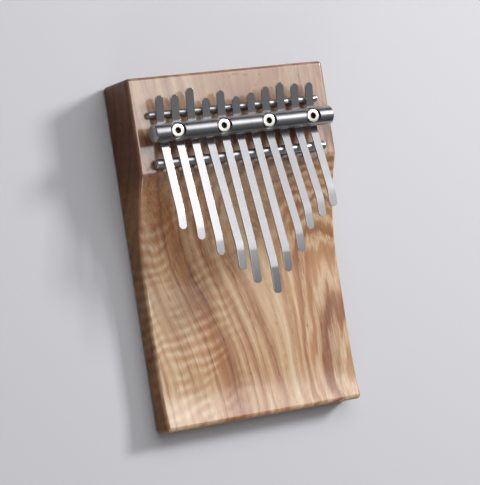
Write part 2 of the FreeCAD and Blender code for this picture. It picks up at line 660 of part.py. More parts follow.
fill_sizes()
fill_layout()
make_board()
make_rods()
make_bar()
for count in range(1, SCREW_COUNT + 1):
    make_screw(count)
    make_insert(count)
for count in range(1, TINE_COUNT + 1):
    make_tine_piece(count, "shank")
    make_tine_piece(count, "tongue")
doc.recompute()
check_document()
write_steps()
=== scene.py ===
# %% [markdown]
# A kalimba (thumb piano) with eleven spring steel tines. A slab of oiled ash is hollowed into a
# scoop for the thumbs. Two steel rods lie across its thick head, and a round steel bar, pulled
# down by four socket screws, bends every tine over them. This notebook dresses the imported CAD
# frame: it keeps each place and size from there and adds finishes, edges and fine parts.

# %% Load the frame
import json
import math
import bpy
import bmesh
from mathutils import Euler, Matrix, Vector

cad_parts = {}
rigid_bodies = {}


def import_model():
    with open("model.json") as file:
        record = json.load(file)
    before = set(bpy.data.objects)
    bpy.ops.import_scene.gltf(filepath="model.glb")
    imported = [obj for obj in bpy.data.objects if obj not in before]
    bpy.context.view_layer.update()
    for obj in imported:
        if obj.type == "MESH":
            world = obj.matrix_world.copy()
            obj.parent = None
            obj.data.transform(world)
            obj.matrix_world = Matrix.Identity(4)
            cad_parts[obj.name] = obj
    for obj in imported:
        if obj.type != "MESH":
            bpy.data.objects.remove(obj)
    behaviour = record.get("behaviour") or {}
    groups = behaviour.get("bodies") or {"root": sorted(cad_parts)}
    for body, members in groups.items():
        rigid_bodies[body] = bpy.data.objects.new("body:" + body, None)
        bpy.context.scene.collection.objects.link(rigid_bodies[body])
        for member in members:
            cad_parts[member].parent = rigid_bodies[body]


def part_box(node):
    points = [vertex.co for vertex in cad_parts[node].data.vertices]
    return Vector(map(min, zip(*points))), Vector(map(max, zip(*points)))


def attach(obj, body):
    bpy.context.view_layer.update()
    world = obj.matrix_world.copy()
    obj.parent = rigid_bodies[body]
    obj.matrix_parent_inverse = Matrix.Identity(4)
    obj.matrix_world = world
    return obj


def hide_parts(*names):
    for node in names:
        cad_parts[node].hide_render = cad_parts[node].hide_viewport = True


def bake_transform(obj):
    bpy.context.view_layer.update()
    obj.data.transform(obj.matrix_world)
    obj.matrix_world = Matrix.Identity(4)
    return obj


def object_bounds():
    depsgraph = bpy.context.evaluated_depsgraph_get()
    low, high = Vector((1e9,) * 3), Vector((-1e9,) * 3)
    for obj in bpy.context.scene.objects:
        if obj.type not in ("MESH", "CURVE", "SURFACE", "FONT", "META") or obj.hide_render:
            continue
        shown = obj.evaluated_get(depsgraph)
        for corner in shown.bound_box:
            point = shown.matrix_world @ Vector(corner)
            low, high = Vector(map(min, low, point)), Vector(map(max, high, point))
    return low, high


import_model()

cad_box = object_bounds()
MM = 0.001
print("CAD box in mm:", [[round(v / MM, 1) for v in corner] for corner in cad_box])

# %% [markdown]
# Three small helpers serve every cell. Colours are written as the sRGB hex values a maker would
# pick, and Blender wants linear light, so one function converts them. Node trees are built in
# code, so one function adds a node, sets it and plugs in its links. A third starts a material.

# %% Helpers
def linear(code):
    """sRGB hex to the linear red, green, blue and alpha that a socket takes."""
    parts = [int(code[k:k + 2], 16) / 255 for k in (1, 3, 5)]
    light = [c / 12.92 if c <= 0.04045 else ((c + 0.055) / 1.055) ** 2.4 for c in parts]
    return (*light, 1.0)


def add_node(tree, kind, inputs=None, **settings):
    """Add one node. Each input gets a plain value, or a link if it is another node's output."""
    node = tree.nodes.new(kind)
    for name, value in settings.items():
        setattr(node, name, value)
    for key, value in (inputs or {}).items():
        if isinstance(value, bpy.types.NodeSocket):
            tree.links.new(value, node.inputs[key])
        else:
            node.inputs[key].default_value = value
    return node


def new_material(name):
    """An empty material, with its tree and its Principled shader."""
    material = bpy.data.materials.new(name)
    material.use_nodes = True
    shader = material.node_tree.nodes["Principled BSDF"]
    return material, material.node_tree, shader


print("sRGB #808080 is", round(linear("#808080")[0], 4), "in linear light")

# %% [markdown]
# The camera is a long lens from the upper left, a little over a metre away, so the board looks
# nearly unforeshortened and shows a strip of its left side. It aims near the board's middle.

# %% Camera
camera = bpy.data.objects.new("camera", bpy.data.cameras.new("camera"))
bpy.context.scene.collection.objects.link(camera)
camera.location = (-0.54785, -0.03812, 1.00680)
camera.rotation_euler = Euler([math.radians(a) for a in (6.845, -28.199, -10.188)])
camera.data.sensor_width = 36
camera.data.lens = 163.5
bpy.context.scene.camera = camera
print("camera is", round(camera.location.length, 3), "m from the board")

# %% [markdown]
# A wide softbox hangs over the head end. It is what polished steel shows: the tines' rising
# fronts face it and go white, while their level tips and rising tails look past its edges at the
# dim room. A dimmer panel to its right keeps the right-hand tines grey instead of black. A
# smaller, stronger key lamp on the right throws the bar's shadow to the left over the head, and
# a weak card at the front left opens the shade on the slope below the head.
# The room only just fills the shadows: its ceiling is grey and its walls are darker, so the
# board's sides stay dark.

# %% Lamps
def softbox(name, centre, turn, size, radiance):
    """A rectangular lamp at centre, turned in degrees, that shows radiance times white."""
    lamp = bpy.data.lights.new(name, "AREA")
    lamp.shape = "RECTANGLE"
    lamp.size, lamp.size_y = size
    lamp.energy = radiance * math.pi * size[0] * size[1]
    holder = bpy.data.objects.new(name, lamp)
    bpy.context.scene.collection.objects.link(holder)
    holder.location = centre
    holder.rotation_euler = Euler([math.radians(a) for a in turn])
    print(name, "has", round(lamp.energy, 1), "W")
    return holder


softbox("wide_softbox", (0.067, 0.323, 0.808), (-30, 0, 8), (0.740, 0.775), 1.9)
softbox("side_panel", (0.650, 0.395, 0.813), (-30, 0, 8), (0.420, 0.800), 0.72)
softbox("key_lamp", (1.18, 0.52, 0.99), (-17.5, 50.6, 0), (0.34, 0.34), 52.0)
softbox("front_card", (-0.50, -0.95, 0.55), (60, 0, -28), (0.60, 0.60), 1.3)

world = bpy.data.worlds.new("room")
bpy.context.scene.world = world
world.use_nodes = True
room = world.node_tree.nodes["Background"]
room.inputs["Color"].default_value = linear("#FFFFFF")
direction = add_node(world.node_tree, "ShaderNodeTexCoord").outputs["Generated"]
height = add_node(world.node_tree, "ShaderNodeSeparateXYZ", {0: direction}).outputs[2]
grey = add_node(world.node_tree, "ShaderNodeMapRange", {0: height, 1: 0.1, 2: 0.8,
                                                        3: 0.02, 4: 0.20})
world.node_tree.links.new(grey.outputs[0], room.inputs["Strength"])

view = bpy.context.scene.view_settings
view.view_transform = "Standard"

# %% [markdown]
# The floor is a pale painted table. It looks pale to the eye and in reflections, but sends little
# light back up to the board's sides, which would otherwise lose their shade. Light Path tells
# the two apart.

# %% Floor
HALF_TABLE = 6.0  # m, from the board to the table's edge
TABLE_DROP = 0.0002  # m, so that the board's back and the table don't share a plane
floor_mesh = bpy.data.meshes.new("table_top")
corners = [(x * HALF_TABLE, y * HALF_TABLE, 0) for x, y in ((-1, -1), (1, -1), (1, 1), (-1, 1))]
floor_mesh.from_pydata(corners, [], [(0, 1, 2, 3)])
table_top = bpy.data.objects.new("table_top", floor_mesh)
bpy.context.scene.collection.objects.link(table_top)
table_top.location.z = cad_box[0].z - TABLE_DROP
paint, tree, shader = new_material("matt_table_paint")
shader.inputs["Base Color"].default_value = linear("#CFCFD4")
shader.inputs["Roughness"].default_value = 0.9
dim = add_node(tree, "ShaderNodeBsdfDiffuse", {"Color": linear("#3C3C3E")})
path = add_node(tree, "ShaderNodeLightPath")
seen = add_node(tree, "ShaderNodeMath", {0: path.outputs["Is Camera Ray"],
                                         1: path.outputs["Is Glossy Ray"]}, operation="MAXIMUM")
seen = add_node(tree, "ShaderNodeMath", {0: seen.outputs[0],
                                         1: path.outputs["Is Transmission Ray"]},
                operation="MAXIMUM")
either = add_node(tree, "ShaderNodeMixShader", {0: seen.outputs[0], 1: dim.outputs[0],
                                                2: shader.outputs[0]})
tree.links.new(either.outputs[0], tree.nodes["Material Output"].inputs["Surface"])
floor_mesh.materials.append(paint)
print("table top is", 2 * HALF_TABLE, "m across")

# %% [markdown]
# The board is ash, flat sawn so that the right side shows the flame of a tangent cut and the
# left side shows straight bands. Real figure is what a flat or a scooped face cuts out of
# the tree's nested growth rings, so the material works in the same way. It measures each
# point's distance from a bent pith line under the board and colours that distance in rings.
# Head, scoop, lip and sides then agree with each other, like solid wood.

# %% Oiled ash: the grain line
RING = 4.4  # mm between growth rings, measured outwards from the pith
RIPPLE = 5.6  # mm from one buckled crest of the fibres to the next
ash, tree, shader = new_material("oiled_ash")
place = add_node(tree, "ShaderNodeTexCoord").outputs["Object"]
in_mm = add_node(tree, "ShaderNodeMapping", {"Vector": place, "Scale": (1000, 1000, 1000)})
axes = add_node(tree, "ShaderNodeSeparateXYZ", {0: in_mm.outputs[0]})
across, along, up = axes.outputs[0], axes.outputs[1], axes.outputs[2]

# The trunk bent, so on the left the grain sweeps down and inwards, and straightens at the lip.
sweep = add_node(tree, "ShaderNodeMapRange", {0: along, 1: -85.0, 2: 95.0, 3: 0.0, 4: 1.0},
                 interpolation_type="SMOOTHSTEP")
lean = add_node(tree, "ShaderNodeMapRange", {0: across, 1: -12.0, 2: 44.0, 3: 48.0, 4: 9.0},
                interpolation_type="SMOOTHSTEP")
swept = add_node(tree, "ShaderNodeMath", {0: sweep.outputs[0], 1: lean.outputs[0], 2: across},
                 operation="MULTIPLY_ADD")

# Slow waves along the trunk, stretched lengthwise as fibres are.
slow = add_node(tree, "ShaderNodeMapping", {"Vector": place, "Scale": (34, 13, 34),
                                            "Location": (0.7, 0.2, 0.4)})
wave = add_node(tree, "ShaderNodeTexNoise", {"Vector": slow.outputs[0], "Scale": 1.0,
                                             "Detail": 2.0, "Roughness": 0.45})
sway = add_node(tree, "ShaderNodeMath", {0: wave.outputs[0], 1: 9.0, 2: -4.5},
                operation="MULTIPLY_ADD")
line = add_node(tree, "ShaderNodeMath", {0: swept.outputs[0], 1: sway.outputs[0]},
                operation="ADD")
print("the grain line takes", len(tree.nodes), "nodes")

# %% [markdown]
# The ring distance is the length from the pith, in the plane across the trunk. The pith also
# dives slowly towards the head, which closes the rings into long nested flames. A little
# fibre noise on the distance frays the flames' tips into points.

# %% Oiled ash: the growth rings
PITH_ASIDE, PITH_DEPTH = 52.0, 24.0  # mm, right of the middle and under the board's back
PITH_DIVE = 0.06  # mm deeper for each mm towards the head
aside = add_node(tree, "ShaderNodeMath", {0: line.outputs[0], 1: PITH_ASIDE},
                 operation="SUBTRACT")
dive = add_node(tree, "ShaderNodeMath", {0: along, 1: PITH_DIVE, 2: PITH_DEPTH},
                operation="MULTIPLY_ADD")
above = add_node(tree, "ShaderNodeMath", {0: up, 1: dive.outputs[0]}, operation="ADD")
arm = add_node(tree, "ShaderNodeCombineXYZ", {0: aside.outputs[0], 1: above.outputs[0]})
distance = add_node(tree, "ShaderNodeVectorMath", {0: arm.outputs[0]}, operation="LENGTH")
fray_map = add_node(tree, "ShaderNodeMapping", {"Vector": place, "Scale": (260, 34, 260)})
fray = add_node(tree, "ShaderNodeTexNoise", {"Vector": fray_map.outputs[0], "Scale": 1.0,
                                             "Detail": 3.0, "Roughness": 0.55})
frayed = add_node(tree, "ShaderNodeMath", {0: fray.outputs[0], 1: 3.2,
                                           2: distance.outputs["Value"]},
                  operation="MULTIPLY_ADD")
count = add_node(tree, "ShaderNodeMath", {0: frayed.outputs[0], 1: 1 / RING},
                 operation="MULTIPLY")
phase = add_node(tree, "ShaderNodeMath", {0: count.outputs[0]}, operation="FRACT")
year = add_node(tree, "ShaderNodeMath", {0: count.outputs[0]}, operation="FLOOR")
season = add_node(tree, "ShaderNodeTexWhiteNoise", {"W": year.outputs[0]},
                  noise_dimensions="1D")
ring_tone = add_node(tree, "ShaderNodeValToRGB", {0: phase.outputs[0]})
ring_tone.color_ramp.interpolation = "EASE"
stops = ring_tone.color_ramp
stops.elements[0].position, stops.elements[0].color = 0.0, linear("#C8A680")
stops.elements[1].position, stops.elements[1].color = 1.0, linear("#CDAC86")
for at, code in ((0.14, "#B0855E"), (0.34, "#C9A482"), (0.62, "#E0C6A8"), (0.86, "#D8BB9A")):
    stop = stops.elements.new(at)
    stop.color = linear(code)

# Some years grew evenly, with hardly any band.
calm = add_node(tree, "ShaderNodeMapRange", {0: season.outputs["Value"], 3: 0.15, 4: 1.0})
banded = add_node(tree, "ShaderNodeMix", {0: calm.outputs[0], 6: linear("#DCBF9A"),
                                          7: ring_tone.outputs[0]}, data_type="RGBA")
print("one ring's ramp has", len(stops.elements), "colours")

# %% [markdown]
# Olive-coloured ash also has wide brown bands, several rings across, where the tree stored its
# heartwood colours. They follow the same grain line as the rings, so a ramp along that line
# places them: a broad one left of the middle and slimmer ones to its right.

# %% Oiled ash: the wide bands
BANDS_FROM, BANDS_TO = -57.5, 62.5  # mm along the grain line, the ends of the ramp
ragged = add_node(tree, "ShaderNodeMath", {0: fray.outputs[0], 1: 5.0, 2: line.outputs[0]},
                  operation="MULTIPLY_ADD")
spread = add_node(tree, "ShaderNodeMapRange", {0: ragged.outputs[0], 1: BANDS_FROM,
                                               2: BANDS_TO})
stain = add_node(tree, "ShaderNodeValToRGB", {0: spread.outputs[0]})
stops = stain.color_ramp
stops.elements[0].position, stops.elements[0].color = 0.0, linear("#EEDCC8")
stops.elements[1].position, stops.elements[1].color = 1.0, linear("#E4CCB4")
for at_mm, code in ((-42, "#F7EADC"), (-34, "#E2C8B0"), (-29, "#F0DECC"), (-23, "#E6CBB2"),
                    (-17, "#C99C72"), (-10, "#BC8A5E"), (-5, "#E6CDB6"), (-1, "#F2DFCC"),
                    (3.5, "#CFA787"), (7, "#F8EADB"), (11, "#EFDAC6"), (15, "#C49A7A"),
                    (19, "#F6E6D6"), (25, "#FFF8F0"), (31, "#E4C9AF"), (36, "#F4E2D0"),
                    (43, "#D8B698"), (50, "#EEDAC6")):
    stop = stops.elements.new((at_mm - BANDS_FROM) / (BANDS_TO - BANDS_FROM))
    stop.color = linear(code)
strength = add_node(tree, "ShaderNodeMapRange", {0: along, 1: 2.0, 2: 36.0, 3: 1.0, 4: 0.95})
stained = add_node(tree, "ShaderNodeMix", {0: strength.outputs[0], 6: banded.outputs[2],
                                           7: stain.outputs[0]},
                   data_type="RGBA", blend_type="MULTIPLY")

# Inside the flame on the right the rings lie flat under the face, so they show wide and torn.
nested = add_node(tree, "ShaderNodeMath", {0: frayed.outputs[0], 1: 1 / 1.2},
                  operation="MULTIPLY")
nested = add_node(tree, "ShaderNodeMath", {0: nested.outputs[0], 1: 1.0},
                  operation="PINGPONG")
torn = add_node(tree, "ShaderNodeMapRange", {0: nested.outputs[0], 1: 0.2, 2: 0.8,
                                             3: 0.76, 4: 1.14}, interpolation_type="SMOOTHSTEP")
in_flame = add_node(tree, "ShaderNodeMapRange", {0: across, 1: 16.0, 2: 34.0},
                    interpolation_type="SMOOTHSTEP")
flame_tone = add_node(tree, "ShaderNodeMix", {0: in_flame.outputs[0], 2: 1.0,
                                              3: torn.outputs[0]}, data_type="FLOAT")
print("the wide bands' ramp has", len(stops.elements), "colours")

# %% [markdown]
# Over the rings lie finer things: streaks of fibre a few tenths of a millimetre wide, short open
# pores, and a ripple across the grain at the lower left where the fibres buckled. The pores are
# drawn about twice as coarse as real ones, or they would vanish at this distance.

# %% Oiled ash: fibre, pores and ripple
fibre_place = add_node(tree, "ShaderNodeCombineXYZ", {0: line.outputs[0], 1: along, 2: up})
fibre_map = add_node(tree, "ShaderNodeMapping", {"Vector": fibre_place.outputs[0],
                                                 "Scale": (1 / 0.9, 1 / 26, 1 / 0.9)})
fibre = add_node(tree, "ShaderNodeTexNoise", {"Vector": fibre_map.outputs[0], "Scale": 1.0,
                                              "Detail": 3.0, "Roughness": 0.6})
fibre_tone = add_node(tree, "ShaderNodeMapRange", {0: fibre.outputs[0], 1: 0.3, 2: 0.7,
                                                   3: 0.90, 4: 1.16})
pore_map = add_node(tree, "ShaderNodeMapping", {"Vector": fibre_place.outputs[0],
                                                "Scale": (1 / 0.35, 1 / 3.5, 1 / 0.35)})
pore = add_node(tree, "ShaderNodeTexNoise", {"Vector": pore_map.outputs[0], "Scale": 1.0,
                                             "Detail": 1.0})
spring = add_node(tree, "ShaderNodeMapRange", {0: phase.outputs[0], 1: 0.0, 2: 0.45,
                                               3: 0.56, 4: 0.70})
pore_cut = add_node(tree, "ShaderNodeMath", {0: pore.outputs[0], 1: spring.outputs[0]},
                    operation="SUBTRACT")
pore_depth = add_node(tree, "ShaderNodeMapRange", {0: pore_cut.outputs[0], 1: 0.0, 2: 0.06})
pore_tone = add_node(tree, "ShaderNodeMapRange", {0: pore_depth.outputs[0], 3: 1.0, 4: 0.76})

buckle_map = add_node(tree, "ShaderNodeMapping", {"Vector": place, "Scale": (55, 32, 40)})
buckle = add_node(tree, "ShaderNodeTexNoise", {"Vector": buckle_map.outputs[0], "Scale": 1.0,
                                               "Detail": 1.5})
slant = add_node(tree, "ShaderNodeMath", {0: across, 1: -0.3, 2: along},
                 operation="MULTIPLY_ADD")
turns = add_node(tree, "ShaderNodeMath", {0: slant.outputs[0], 1: 2 * math.pi / RIPPLE},
                 operation="MULTIPLY")
turns = add_node(tree, "ShaderNodeMath", {0: buckle.outputs[0], 1: 17.0, 2: turns.outputs[0]},
                 operation="MULTIPLY_ADD")
crest = add_node(tree, "ShaderNodeMath", {0: turns.outputs[0]}, operation="SINE")
from_left = add_node(tree, "ShaderNodeMapRange", {0: across, 1: -32.0, 2: 4.0, 3: 1.0, 4: 0.12},
                     interpolation_type="SMOOTHSTEP")
below = add_node(tree, "ShaderNodeMapRange", {0: along, 1: 8.0, 2: 34.0, 3: 1.0, 4: 0.2},
                 interpolation_type="SMOOTHSTEP")
patch = add_node(tree, "ShaderNodeMath", {0: from_left.outputs[0], 1: below.outputs[0]},
                 operation="MULTIPLY")
uneven_map = add_node(tree, "ShaderNodeMapping", {"Vector": place, "Scale": (110, 60, 110)})
uneven = add_node(tree, "ShaderNodeTexNoise", {"Vector": uneven_map.outputs[0], "Scale": 1.0,
                                               "Detail": 1.0})
fade = add_node(tree, "ShaderNodeMapRange", {0: uneven.outputs[0], 1: 0.38, 2: 0.60})
patch = add_node(tree, "ShaderNodeMath", {0: patch.outputs[0], 1: fade.outputs[0]},
                 operation="MULTIPLY")
ripple = add_node(tree, "ShaderNodeMath", {0: crest.outputs[0], 1: patch.outputs[0]},
                  operation="MULTIPLY")
ripple_tone = add_node(tree, "ShaderNodeMath", {0: ripple.outputs[0], 1: 0.15, 2: 1.0},
                       operation="MULTIPLY_ADD")
print("ripple crests are", RIPPLE, "mm apart")

# %% [markdown]
# Wood also changes colour slowly: a brown heart streak runs through the flame on the right. The
# fine tones are multiplied together and set the gamma of the colour, because a darker line in
# wood is also a redder one. The pores and the ripple also feed a very shallow bump.
# The oil leaves a soft sheen, glossier than bare wood. The playing face was buffed and the
# sides were only wiped, so the coat is thick where the surface faces up. Shade is painted into
# the colour by two multiplies: a grey one darkens the head and a brown one darkens and warms the
# sides.

# %% Oiled ash: heart streak, finish and painted shade
swing = add_node(tree, "ShaderNodeMath", {0: fray.outputs[0], 1: 9.0, 2: -4.5},
                 operation="MULTIPLY_ADD")
heart_off = add_node(tree, "ShaderNodeMath", {0: across, 1: swing.outputs[0]}, operation="ADD")
heart_off = add_node(tree, "ShaderNodeMath", {0: heart_off.outputs[0], 1: 46.5},
                     operation="SUBTRACT")
heart_off = add_node(tree, "ShaderNodeMath", {0: heart_off.outputs[0]}, operation="ABSOLUTE")
opening = add_node(tree, "ShaderNodeMapRange", {0: along, 1: -48.0, 2: -24.0, 3: 4.2, 4: -1.5})
closing = add_node(tree, "ShaderNodeMapRange", {0: along, 1: -84.0, 2: -55.0, 3: 3.4, 4: 0.0})
reach = add_node(tree, "ShaderNodeMath", {0: opening.outputs[0], 1: closing.outputs[0]},
                 operation="SUBTRACT")
heart = add_node(tree, "ShaderNodeMath", {0: reach.outputs[0], 1: heart_off.outputs[0]},
                 operation="SUBTRACT")
heart_mask = add_node(tree, "ShaderNodeMapRange", {0: heart.outputs[0], 1: -0.4, 2: 0.6,
                                                   3: 0.0, 4: 0.75})
streaked = add_node(tree, "ShaderNodeMix", {0: heart_mask.outputs[0], 6: stained.outputs[2],
                                            7: linear("#A06F4A")}, data_type="RGBA")
fine = add_node(tree, "ShaderNodeMath", {0: fibre_tone.outputs[0], 1: pore_tone.outputs[0]},
                operation="MULTIPLY")
fine = add_node(tree, "ShaderNodeMath", {0: fine.outputs[0], 1: ripple_tone.outputs[0]},
                operation="MULTIPLY")
fine = add_node(tree, "ShaderNodeMath", {0: fine.outputs[0], 1: flame_tone.outputs[0]},
                operation="MULTIPLY")
power = add_node(tree, "ShaderNodeMath", {0: fine.outputs[0], 1: -1.6, 2: 2.6},
                 operation="MULTIPLY_ADD")
tinted = add_node(tree, "ShaderNodeGamma", {0: streaked.outputs[2], 1: power.outputs[0]})
facing = add_node(tree, "ShaderNodeSeparateXYZ",
                  {0: add_node(tree, "ShaderNodeTexCoord").outputs["Normal"]})
faces_up = add_node(tree, "ShaderNodeMapRange", {0: facing.outputs[2], 1: 0.3, 2: 0.85,
                                               3: 0.0, 4: 1.0})
# Painted shade: the head's colour is multiplied darker and greyer, for the weaker light that
# reaches it.
head_shade_mask = add_node(tree, "ShaderNodeMapRange", {0: along, 1: 28.0, 2: 44.0, 3: 0.0, 4: 1.0},
                  interpolation_type="SMOOTHSTEP")
head_shaded = add_node(tree, "ShaderNodeMix", {0: head_shade_mask.outputs[0], 6: tinted.outputs[0],
                                          7: linear("#CCC4BE")},
                  data_type="RGBA", blend_type="MULTIPLY")
# Painted shade: surfaces that turn away from up take a warm brown multiply, which darkens the
# sides.
side_shade = add_node(tree, "ShaderNodeMix", {0: faces_up.outputs[0], 6: linear("#F2D6C0"),
                                         7: linear("#FFFFFF")}, data_type="RGBA")
oiled = add_node(tree, "ShaderNodeVectorMath", {0: head_shaded.outputs[2], 1: side_shade.outputs[2]},
                 operation="MULTIPLY")
tree.links.new(oiled.outputs[0], shader.inputs["Base Color"])
gloss = add_node(tree, "ShaderNodeMapRange", {0: fibre.outputs[0], 1: 0.3, 2: 0.7,
                                              3: 0.36, 4: 0.46})
tree.links.new(gloss.outputs[0], shader.inputs["Roughness"])
shader.inputs["IOR"].default_value = 1.5
shader.inputs["Specular IOR Level"].default_value = 0.3
shader.inputs["Coat IOR"].default_value = 2.3
shader.inputs["Coat Roughness"].default_value = 0.18
tree.links.new(faces_up.outputs[0], shader.inputs["Coat Weight"])
relief = add_node(tree, "ShaderNodeMath", {0: ripple.outputs[0], 1: 0.4,
                                           2: pore_tone.outputs[0]}, operation="MULTIPLY_ADD")
bump = add_node(tree, "ShaderNodeBump", {"Height": relief.outputs[0], "Strength": 0.12,
                                         "Distance": 0.0002})
tree.links.new(bump.outputs[0], shader.inputs["Normal"])
print("oiled ash has", len(tree.nodes), "nodes")

# %% [markdown]
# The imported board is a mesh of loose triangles. A copy with its doubles merged can be
# shaded smooth, so the scoop and the rounded edges look turned by hand instead of faceted.

# %% Board
def smooth_copy(node, name, degrees):
    """A merged, smooth shaded copy of a CAD node's mesh, in the same place."""
    cad = bpy.data.objects[node]
    sheet = bmesh.new()
    sheet.from_mesh(cad.data)
    sheet.transform(cad.matrix_world)
    bmesh.ops.remove_doubles(sheet, verts=sheet.verts, dist=1e-6)
    mesh = bpy.data.meshes.new(name)
    sheet.to_mesh(mesh)
    sheet.free()
    mesh.shade_smooth()
    mesh.set_sharp_from_angle(angle=math.radians(degrees))
    copy = bpy.data.objects.new(name, mesh)
    bpy.context.scene.collection.objects.link(copy)
    return copy


def finish_piece(piece, material, slot, body, *nodes):
    """Give a finished piece its material and its body, and hide the CAD nodes it stands for. The
    slot is not used.
    """
    piece.data.materials.clear()
    piece.data.materials.append(material)
    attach(piece, body)
    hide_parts(*nodes)
    print(piece.name, "has", len(piece.data.polygons), "faces")


board = smooth_copy("body_board", "ash_board", 14)
even = board.modifiers.new("even_normals", "WEIGHTED_NORMAL")
even.keep_sharp = True
finish_piece(board, ash, "oiled_ash", "board", "body_board")

# %% [markdown]
# Every metal piece is steel with another finish, and what tells them apart is how the last
# tool left them. The tines were ground lengthwise, the bar and the rods were turned, so their
# marks run round, and the screws are zinc plated. The marks are finer than the eye can part
# at this distance, so each is drawn as stretched noise near 0.3 mm, as roughness and bump.

# %% Steel finishes
def brushed_metal(name, tint, roughness, marks, bump_strength):
    """A metal whose fine tool marks are noise stretched by marks, in cells per metre."""
    material, tree, shader = new_material(name)
    shader.inputs["Base Color"].default_value = linear(tint)
    shader.inputs["Metallic"].default_value = 1.0
    place = add_node(tree, "ShaderNodeTexCoord").outputs["Object"]
    stretch = add_node(tree, "ShaderNodeMapping", {"Vector": place, "Scale": marks})
    lines = add_node(tree, "ShaderNodeTexNoise", {"Vector": stretch.outputs[0], "Scale": 1.0,
                                                  "Detail": 3.0, "Roughness": 0.65})
    wear = add_node(tree, "ShaderNodeTexNoise", {"Vector": place, "Scale": 160.0,
                                                 "Detail": 2.0})
    both = add_node(tree, "ShaderNodeMath", {0: lines.outputs[0], 1: wear.outputs[0]},
                    operation="ADD")
    rough = add_node(tree, "ShaderNodeMapRange", {0: both.outputs[0], 1: 0.7, 2: 1.3,
                                                  3: roughness * 0.88, 4: roughness * 1.12})
    tree.links.new(rough.outputs[0], shader.inputs["Roughness"])
    bump = add_node(tree, "ShaderNodeBump", {"Height": lines.outputs[0],
                                             "Strength": bump_strength, "Distance": 0.00005})
    tree.links.new(bump.outputs[0], shader.inputs["Normal"])
    return material


# Ground spring steel: a silky face that mirrors the lamp as a clean white sheet.
ground_spring = brushed_metal("ground_spring_steel", "#C8C8CC", 0.13, (3300, 60, 3300), 0.06)
# Turned mild steel: rings across the bar that spread the highlight along it.
turned_bar = brushed_metal("turned_bar_steel", "#A4A4A7", 0.30, (2500, 120, 120), 0.03)
# Drawn silver steel rod: smoother than the bar.
drawn_rod = brushed_metal("drawn_rod_steel", "#B2B2B4", 0.32, (1500, 150, 150), 0.03)
# Zinc plate: bright, faintly warm, a little uneven.
zinc_plate = brushed_metal("zinc_plated_steel", "#DAD5CE", 0.22, (700, 700, 700), 0.15)
# Painted shade inside the sockets: steel drawn nearly black, with a weak shine.
socket_shade = brushed_metal("oiled_socket_steel", "#4A4644", 0.38, (700, 700, 700), 0.15)
# Machined brass, hidden in the board under the bar.
brass = brushed_metal("machined_brass", "#C6A04C", 0.32, (300, 300, 2500), 0.20)
print("metals:", [m.name for m in bpy.data.materials if m.name.endswith(("steel", "brass"))])

# %% [markdown]
# A tine is a flat strip that follows a side view of straight runs joined by arcs. It rises from
# the rear rod at its tail, runs level under the bar, rises over the front rod, then bends level
# again for the thumb. The side view is the same rule for all eleven with four sizes each, so
# it is worked out here from the rods and the bar that the frame gives.

# %% The tines' side view
TINES = 11
FRONT_BEND = (1.0, 1.0, 1.2, 4.7, 1.4, 2.9, 3.0, 5.7, 5.8, 6.2, 4.6)  # mm, bar to first bend
TIP_RUN = (6.5, 6.0, 7.0, 10.0, 17.0, 13.0, 10.0, 9.0, 8.0, 7.0, 6.5)  # mm, level at the tip
TAIL_BEND = 4.1  # mm, bar to the bend of the tails
BEND_RADIUS, TIP_RADIUS = 24.0, 22.0  # mm, at the bar and near the tips
THICKNESS = 1.0  # mm, of the strip
LEVEL = 31.2  # mm, height of the strip's middle under the bar
FRONT_GAP, REAR_GAP = 0.36, 0.30  # mm, strip to each rod


def middle(node):
    """Centre and radius, in mm, of a rod or bar that lies along X."""
    low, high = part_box(node)
    low, high = Vector(low) / MM, Vector(high) / MM
    return (low + high) / 2, (high.z - low.z) / 2


def rise_over(rod, start, gap):
    """Angle at which a strip from start clears the rod by the gap."""
    centre, radius = middle(rod)
    run, drop = abs(centre.y - start), centre.z - LEVEL
    clear = radius + THICKNESS / 2 + gap
    return math.atan2(drop, run) + math.asin(clear / math.hypot(run, drop))


def rounded_path(corners, radii):
    """Points of a line through the corners, with an arc of the given radius at each inner one."""
    points = [corners[0]]
    for before, corner, after, radius in zip(corners, corners[1:], corners[2:], radii):
        inward, outward = (corner - before).normalized(), (after - corner).normalized()
        turn = inward.angle(outward)
        reach = radius * math.tan(turn / 2)
        steps = max(4, round(math.degrees(turn) * 1.5))
        side = (outward - inward).normalized()
        centre = corner + side * (radius / math.cos(turn / 2))
        first = corner - inward * reach - centre
        spoke = first.normalized()
        tangent = (inward - spoke * inward.dot(spoke)).normalized()
        for k in range(steps + 1):
            swing = turn * k / steps
            points.append(centre + first * math.cos(swing) + tangent * radius * math.sin(swing))
    return points + [corners[-1]]


def tine_path(k):
    """Middle line of tine k, from its tail to its tip, as (y, z) points in mm."""
    bar = middle("pressure_bar")[0].y
    tail_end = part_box(f"tine_{k:02d}_shank")[1][1] / MM
    tip_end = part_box(f"tine_{k:02d}_tongue")[0][1] / MM
    tail_start, front_start = bar + TAIL_BEND, bar - FRONT_BEND[k - 1]
    tail_rise = rise_over("rear_rod", tail_start, REAR_GAP)
    front_rise = rise_over("front_rod", front_start, FRONT_GAP)
    tip_start = tip_end + TIP_RUN[k - 1] + TIP_RADIUS * math.tan(front_rise / 2)
    tip_level = LEVEL + (front_start - tip_start) * math.tan(front_rise)
    tail_level = LEVEL + (tail_end - tail_start) * math.tan(tail_rise)
    corners = [Vector((tail_end, tail_level)), Vector((tail_start, LEVEL)),
               Vector((front_start, LEVEL)), Vector((tip_start, tip_level)),
               Vector((tip_end, tip_level))]
    return rounded_path(corners, (BEND_RADIUS, BEND_RADIUS, TIP_RADIUS))


path_6 = tine_path(6)
print("tine 6 has", len(path_6), "path points, tip at", [round(v, 2) for v in path_6[-1]])

# %% [markdown]
# The strip itself is a Geometry Nodes tree. It resamples the path so that rows crowd together
# at both ends, sweeps a rectangle with eased corners along it, then narrows the end rows
# to a half round. Doing this as a rule means all eleven share one tree, and only their paths
# differ. Merging and shading come after the result is made a plain mesh.

